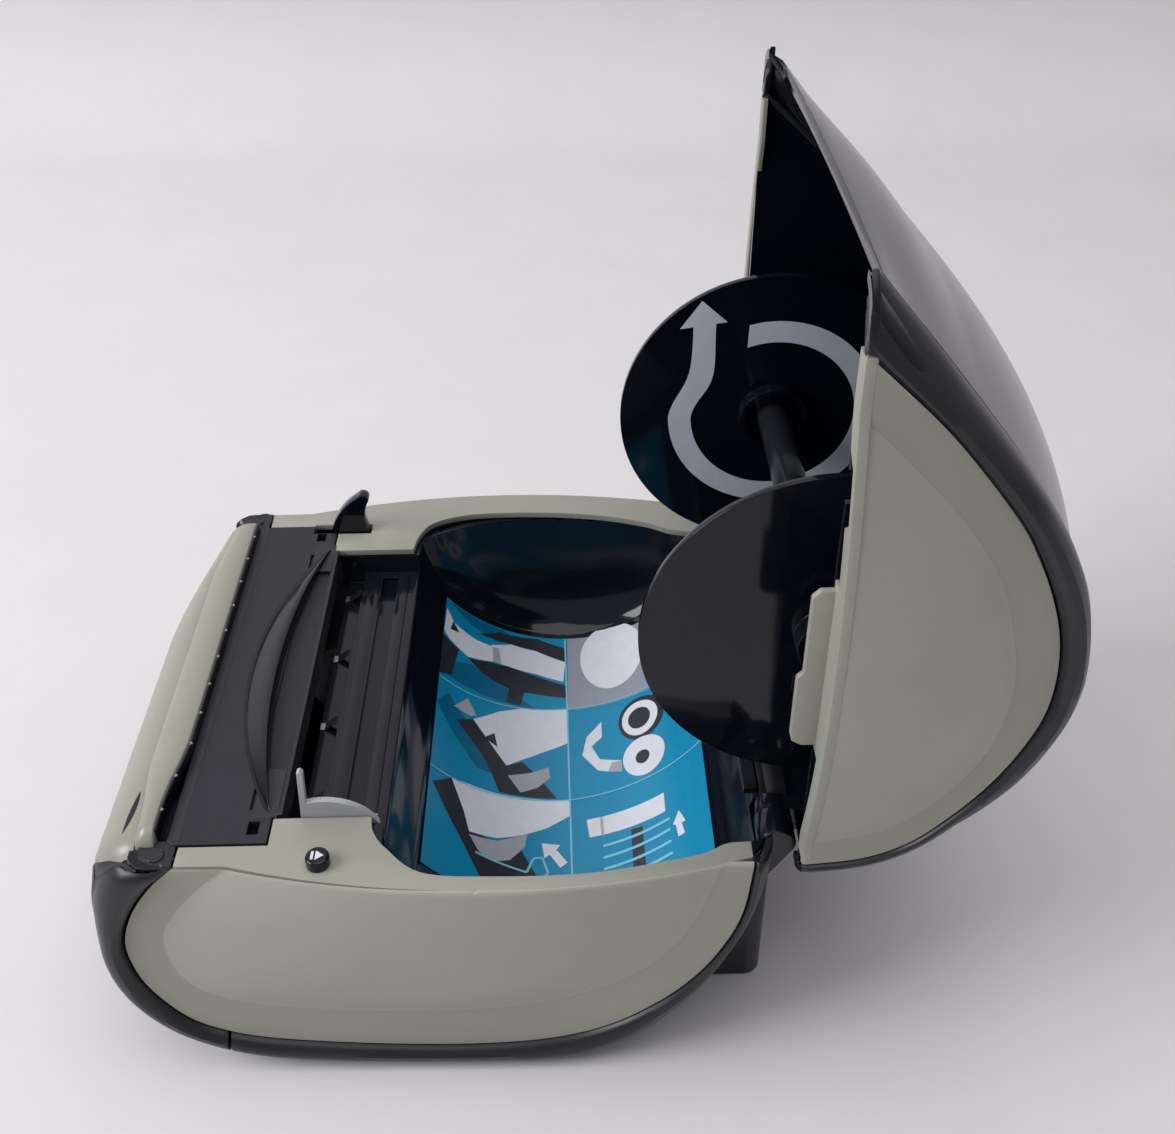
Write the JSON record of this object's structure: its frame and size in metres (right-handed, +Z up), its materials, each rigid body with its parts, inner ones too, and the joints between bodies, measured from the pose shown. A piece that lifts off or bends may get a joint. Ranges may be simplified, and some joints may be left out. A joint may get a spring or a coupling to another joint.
{
  "type": "desktop label maker",
  "caption": "Desktop label maker with its hinged roll cover open: wide base with a roll well, feed slot and print head, and a spool carried inside the cover.",
  "frame": {"origin": "on the floor, under the middle of the open machine", "axes": "+X to the machine's right-hand side, -Y to its front where the label comes out, +Z up"},
  "size_m": [0.1752, 0.2598, 0.2452],
  "materials": {
    "putty": "satin moulded",
    "charcoal": "satin moulded",
    "black_matte": "fine texture",
    "black_gloss": "polished",
    "top_shell": "polished",
    "grey_guide": "satin",
    "rubber": "matte",
    "steel": "drawn",
    "aluminium": "extruded",
    "sticker": "printed, satin",
    "print_grey": "printed ink",
    "board": "solder mask",
    "gear_plastic": "moulded acetal"
  },
  "bodies": {
    "base": {"board_parts": "black_matte", "board_screws": "steel", "bottom_cover": "charcoal", "chassis_plate": "black_matte", "corner_bosses": "black_matte", "data_inlet": "black_matte", "deck_frame": "black_matte", "finger_grip": "black_gloss", "front_bezel": "putty", "front_lower_cover": "charcoal", "hinge_brackets": "black_gloss", "hinge_pins": "steel", "instruction_sticker": "sticker", "left_side_panel": "putty", "main_board": "board", "mechanism_frame": "steel", "media_springs": "steel", "power_inlet": "black_matte", "printhead_cover": "black_matte", "rear_deck": "black_matte", "rear_housing": "charcoal", "right_side_panel": "putty", "roll_well": "black_gloss", "roller_bearings": "gear_plastic", "rubber_feet": "rubber", "status_light": "black_gloss", "stepper_motor": "steel", "switch_board": "board", "tear_bar": "putty"},
    "cover": {"cover_top_shell": "top_shell", "cover_band": "charcoal", "cover_right_panel": "putty", "cover_left_panel": "putty", "cover_lining": "black_gloss", "spool_cradles": "black_matte"},
    "spool": {"spool_core": "black_gloss", "roll_arrow": "print_grey"},
    "spool_ring": {"spool_ring": "black_gloss"},
    "label_guide": {"label_guide": "grey_guide"},
    "release_lever": {"release_lever": "black_gloss"},
    "print_head": {"head_carriage": "aluminium", "thermal_head": "aluminium"},
    "reverse_button": {"reverse_button": "black_gloss"},
    "feed_button": {"feed_button": "putty"},
    "platen": {"platen_roller": "rubber", "platen_shaft": "steel", "roller_gear": "gear_plastic"},
    "idler": {"idler_gear": "gear_plastic"},
    "motor_rotor": {"motor_pinion": "steel"}
  },
  "joints": [
    {"name": "cover_hinge", "type": "hinge", "parent": "base", "child": "cover", "pos_m": [0, 0.054, 0.0758], "axis": [1, 0, 0], "range_deg": [0, 90]},
    {"name": "spool_spin", "type": "hinge", "parent": "cover", "child": "spool", "pos_m": [0, 0.066, 0.1313], "axis": [1, 0, 0], "continuous": true},
    {"name": "ring_slide", "type": "slide", "parent": "spool", "child": "spool_ring", "axis": [-1, 0, 0], "range_m": [0, 0.078]},
    {"name": "guide_slide", "type": "slide", "parent": "base", "child": "label_guide", "axis": [-1, 0, 0], "range_m": [0, 0.085]},
    {"name": "head_lift", "type": "hinge", "parent": "base", "child": "print_head", "pos_m": [0, -0.086, 0.0712], "axis": [-1, 0, 0], "range_deg": [0, 3], "stiffness_Nm_per_rad": 1, "springref_deg": -2.86},
    {"name": "lever_swing", "type": "hinge", "parent": "base", "child": "release_lever", "pos_m": [-0.0676, -0.074, 0.0708], "axis": [1, 0, 0], "range_deg": [0, 24]},
    {"name": "reverse_press", "type": "slide", "parent": "base", "child": "reverse_button", "axis": [0, 0, -1], "range_m": [0, 0.0008], "stiffness_N_per_m": 400, "springref_m": -0.0006},
    {"name": "feed_press", "type": "slide", "parent": "base", "child": "feed_button", "axis": [0, 1, 0], "range_m": [0, 0.0008], "stiffness_N_per_m": 400, "springref_m": -0.0006},
    {"name": "platen_spin", "type": "hinge", "parent": "base", "child": "platen", "pos_m": [0, -0.099, 0.0623], "axis": [1, 0, 0], "continuous": true},
    {"name": "idler_spin", "type": "hinge", "parent": "base", "child": "idler", "pos_m": [-0.066, -0.0882, 0.04359], "axis": [1, 0, 0], "continuous": true},
    {"name": "rotor_spin", "type": "hinge", "parent": "base", "child": "motor_rotor", "pos_m": [-0.066, -0.07365, 0.03519], "axis": [1, 0, 0], "continuous": true}
  ],
  "couplings": [
    {"joint": "lever_swing", "follows": "head_lift", "ratio": 8},
    {"joint": "idler_spin", "follows": "platen_spin", "ratio": -0.8},
    {"joint": "rotor_spin", "follows": "platen_spin", "ratio": 2}
  ]
}
